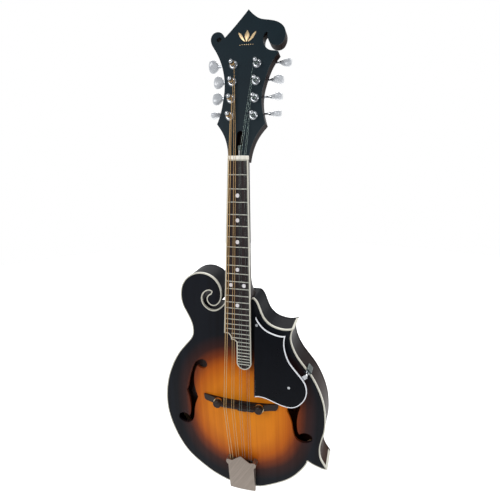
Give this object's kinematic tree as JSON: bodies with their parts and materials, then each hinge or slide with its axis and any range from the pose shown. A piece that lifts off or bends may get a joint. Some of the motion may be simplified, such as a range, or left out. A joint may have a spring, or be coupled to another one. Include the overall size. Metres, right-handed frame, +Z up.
{
  "type": "mandolin",
  "caption": "Carved-top stringed instrument with a scroll and points, f-holes, worm tuners, an adjustable bridge and a slide-off tailpiece cover.",
  "frame": {"origin": "middle of the end pin's head, on the centre line at half the depth of the sides", "axes": "+Z up the neck, +X to the treble side seen from the front, the top faces -Y"},
  "size_m": [0.2575, 0.1136, 0.7129],
  "materials": {
    "spruce_top": "satin sunburst lacquer",
    "maple_body": "satin dark lacquer",
    "maple_neck": "satin lacquer",
    "inner_wood": "bare",
    "cream_binding": "satin",
    "head_veneer": "satin",
    "rod_steel": "plain",
    "dark_metal": "blackened",
    "rosewood": "oiled",
    "fret_wire": "polished",
    "pearl": "polished",
    "bone": "polished",
    "brass_hardware": "plated",
    "nickel": "plated",
    "guard_black": "polished",
    "guard_edge": "polished",
    "bronze_string": "wound",
    "steel_string": "plain",
    "button_pearl": "pearly"
  },
  "bodies": {
    "root": {"top_plate": "spruce_top", "back_plate": "maple_body", "rim": "maple_body", "rim_blocks": "inner_wood", "linings": "inner_wood", "tone_bars": "inner_wood", "top_binding": "cream_binding", "back_binding": "cream_binding", "point_caps": "cream_binding", "neck": "maple_neck", "headstock_overlay": "head_veneer", "truss_rod": "rod_steel", "fingerboard": "rosewood", "fingerboard_binding": "cream_binding", "frets": "fret_wire", "fret_markers": "pearl", "nut": "bone", "bridge_base": "rosewood", "bridge_studs": "brass_hardware", "tailpiece_base": "nickel", "end_pin": "nickel", "pickguard": "guard_black", "pickguard_binding": "guard_edge", "pickguard_bracket": "nickel", "bracket_clamp": "dark_metal", "screws": "nickel", "tuner_plates": "nickel", "tuner_bushings": "nickel", "strings_g": "bronze_string", "strings_d": "bronze_string", "strings_a": "steel_string", "strings_e": "steel_string"},
    "saddle": {"bridge_saddle": "rosewood"},
    "wheel_bass": {"thumbwheel_bass": "brass_hardware"},
    "wheel_treble": {"thumbwheel_treble": "brass_hardware"},
    "cover": {"tailpiece_cover": "nickel"},
    "rod_nut": {"truss_rod_nut": "dark_metal"},
    "post_bass_1": {"tuner_post_bass_1": "nickel"},
    "knob_bass_1": {"tuner_shaft_bass_1": "nickel", "tuner_button_bass_1": "button_pearl"},
    "post_bass_2": {"tuner_post_bass_2": "nickel"},
    "knob_bass_2": {"tuner_shaft_bass_2": "nickel", "tuner_button_bass_2": "button_pearl"},
    "post_bass_3": {"tuner_post_bass_3": "nickel"},
    "knob_bass_3": {"tuner_shaft_bass_3": "nickel", "tuner_button_bass_3": "button_pearl"},
    "post_bass_4": {"tuner_post_bass_4": "nickel"},
    "knob_bass_4": {"tuner_shaft_bass_4": "nickel", "tuner_button_bass_4": "button_pearl"},
    "post_treble_1": {"tuner_post_treble_1": "nickel"},
    "knob_treble_1": {"tuner_shaft_treble_1": "nickel", "tuner_button_treble_1": "button_pearl"},
    "post_treble_2": {"tuner_post_treble_2": "nickel"},
    "knob_treble_2": {"tuner_shaft_treble_2": "nickel", "tuner_button_treble_2": "button_pearl"},
    "post_treble_3": {"tuner_post_treble_3": "nickel"},
    "knob_treble_3": {"tuner_shaft_treble_3": "nickel", "tuner_button_treble_3": "button_pearl"},
    "post_treble_4": {"tuner_post_treble_4": "nickel"},
    "knob_treble_4": {"tuner_shaft_treble_4": "nickel", "tuner_button_treble_4": "button_pearl"}
  },
  "joints": [
    {"name": "saddle_height", "type": "slide", "parent": "root", "child": "saddle", "axis": [0, -1, 0], "range_m": [-0.0004, 0.002], "deforming": ["strings_g", "strings_d", "strings_a", "strings_e"]},
    {"name": "thumbwheel_bass_turn", "type": "hinge", "parent": "saddle", "child": "wheel_bass", "pos_m": [-0.0317, 0, 0.163], "axis": [0, -1, 0], "range_deg": [-200, 1020]},
    {"name": "thumbwheel_treble_turn", "type": "hinge", "parent": "saddle", "child": "wheel_treble", "pos_m": [0.0317, 0, 0.163], "axis": [0, -1, 0], "range_deg": [-200, 1020]},
    {"name": "tailpiece_cover_slide", "type": "slide", "parent": "root", "child": "cover", "axis": [0, 0, -1], "range_m": [0, 0.075]},
    {"name": "truss_nut_turn", "type": "hinge", "parent": "root", "child": "rod_nut", "pos_m": [0, -0.00486, 0.52739], "axis": [0, 0.0872, 0.9962], "range_deg": [-180, 180]},
    {"name": "knob_bass_1_turn", "type": "hinge", "parent": "root", "child": "knob_bass_1", "pos_m": [-0.0165, 0.02739, 0.57475], "axis": [-1, 0, 0], "continuous": true},
    {"name": "post_bass_1_turn", "type": "hinge", "parent": "root", "child": "post_bass_1", "pos_m": [-0.0165, 0.00579, 0.57204], "axis": [0, 0.9511, -0.309], "continuous": true},
    {"name": "knob_bass_2_turn", "type": "hinge", "parent": "root", "child": "knob_bass_2", "pos_m": [-0.0165, 0.03465, 0.5971], "axis": [-1, 0, 0], "continuous": true},
    {"name": "post_bass_2_turn", "type": "hinge", "parent": "root", "child": "post_bass_2", "pos_m": [-0.0165, 0.01306, 0.59439], "axis": [0, 0.9511, -0.309], "continuous": true},
    {"name": "knob_bass_3_turn", "type": "hinge", "parent": "root", "child": "knob_bass_3", "pos_m": [-0.0165, 0.04191, 0.61945], "axis": [-1, 0, 0], "continuous": true},
    {"name": "post_bass_3_turn", "type": "hinge", "parent": "root", "child": "post_bass_3", "pos_m": [-0.0165, 0.02032, 0.61674], "axis": [0, 0.9511, -0.309], "continuous": true},
    {"name": "knob_bass_4_turn", "type": "hinge", "parent": "root", "child": "knob_bass_4", "pos_m": [-0.0165, 0.04917, 0.6418], "axis": [-1, 0, 0], "continuous": true},
    {"name": "post_bass_4_turn", "type": "hinge", "parent": "root", "child": "post_bass_4", "pos_m": [-0.0165, 0.02758, 0.63909], "axis": [0, 0.9511, -0.309], "continuous": true},
    {"name": "knob_treble_1_turn", "type": "hinge", "parent": "root", "child": "knob_treble_1", "pos_m": [0.0165, 0.02739, 0.57475], "axis": [1, 0, 0], "continuous": true},
    {"name": "post_treble_1_turn", "type": "hinge", "parent": "root", "child": "post_treble_1", "pos_m": [0.0165, 0.00579, 0.57204], "axis": [0, 0.9511, -0.309], "continuous": true},
    {"name": "knob_treble_2_turn", "type": "hinge", "parent": "root", "child": "knob_treble_2", "pos_m": [0.0165, 0.03465, 0.5971], "axis": [1, 0, 0], "continuous": true},
    {"name": "post_treble_2_turn", "type": "hinge", "parent": "root", "child": "post_treble_2", "pos_m": [0.0165, 0.01306, 0.59439], "axis": [0, 0.9511, -0.309], "continuous": true},
    {"name": "knob_treble_3_turn", "type": "hinge", "parent": "root", "child": "knob_treble_3", "pos_m": [0.0165, 0.04191, 0.61945], "axis": [1, 0, 0], "continuous": true},
    {"name": "post_treble_3_turn", "type": "hinge", "parent": "root", "child": "post_treble_3", "pos_m": [0.0165, 0.02032, 0.61674], "axis": [0, 0.9511, -0.309], "continuous": true},
    {"name": "knob_treble_4_turn", "type": "hinge", "parent": "root", "child": "knob_treble_4", "pos_m": [0.0165, 0.04917, 0.6418], "axis": [1, 0, 0], "continuous": true},
    {"name": "post_treble_4_turn", "type": "hinge", "parent": "root", "child": "post_treble_4", "pos_m": [0.0165, 0.02758, 0.63909], "axis": [0, 0.9511, -0.309], "continuous": true}
  ],
  "couplings": [
    {"joint": "saddle_height", "follows": "thumbwheel_bass_turn", "m_per_rad": 0.00011141},
    {"joint": "thumbwheel_treble_turn", "follows": "thumbwheel_bass_turn", "ratio": 1},
    {"joint": "post_bass_1_turn", "follows": "knob_bass_1_turn", "ratio": -0.0625},
    {"joint": "post_bass_2_turn", "follows": "knob_bass_2_turn", "ratio": -0.0625},
    {"joint": "post_bass_3_turn", "follows": "knob_bass_3_turn", "ratio": -0.0625},
    {"joint": "post_bass_4_turn", "follows": "knob_bass_4_turn", "ratio": -0.0625},
    {"joint": "post_treble_1_turn", "follows": "knob_treble_1_turn", "ratio": -0.0625},
    {"joint": "post_treble_2_turn", "follows": "knob_treble_2_turn", "ratio": -0.0625},
    {"joint": "post_treble_3_turn", "follows": "knob_treble_3_turn", "ratio": -0.0625},
    {"joint": "post_treble_4_turn", "follows": "knob_treble_4_turn", "ratio": -0.0625}
  ]
}
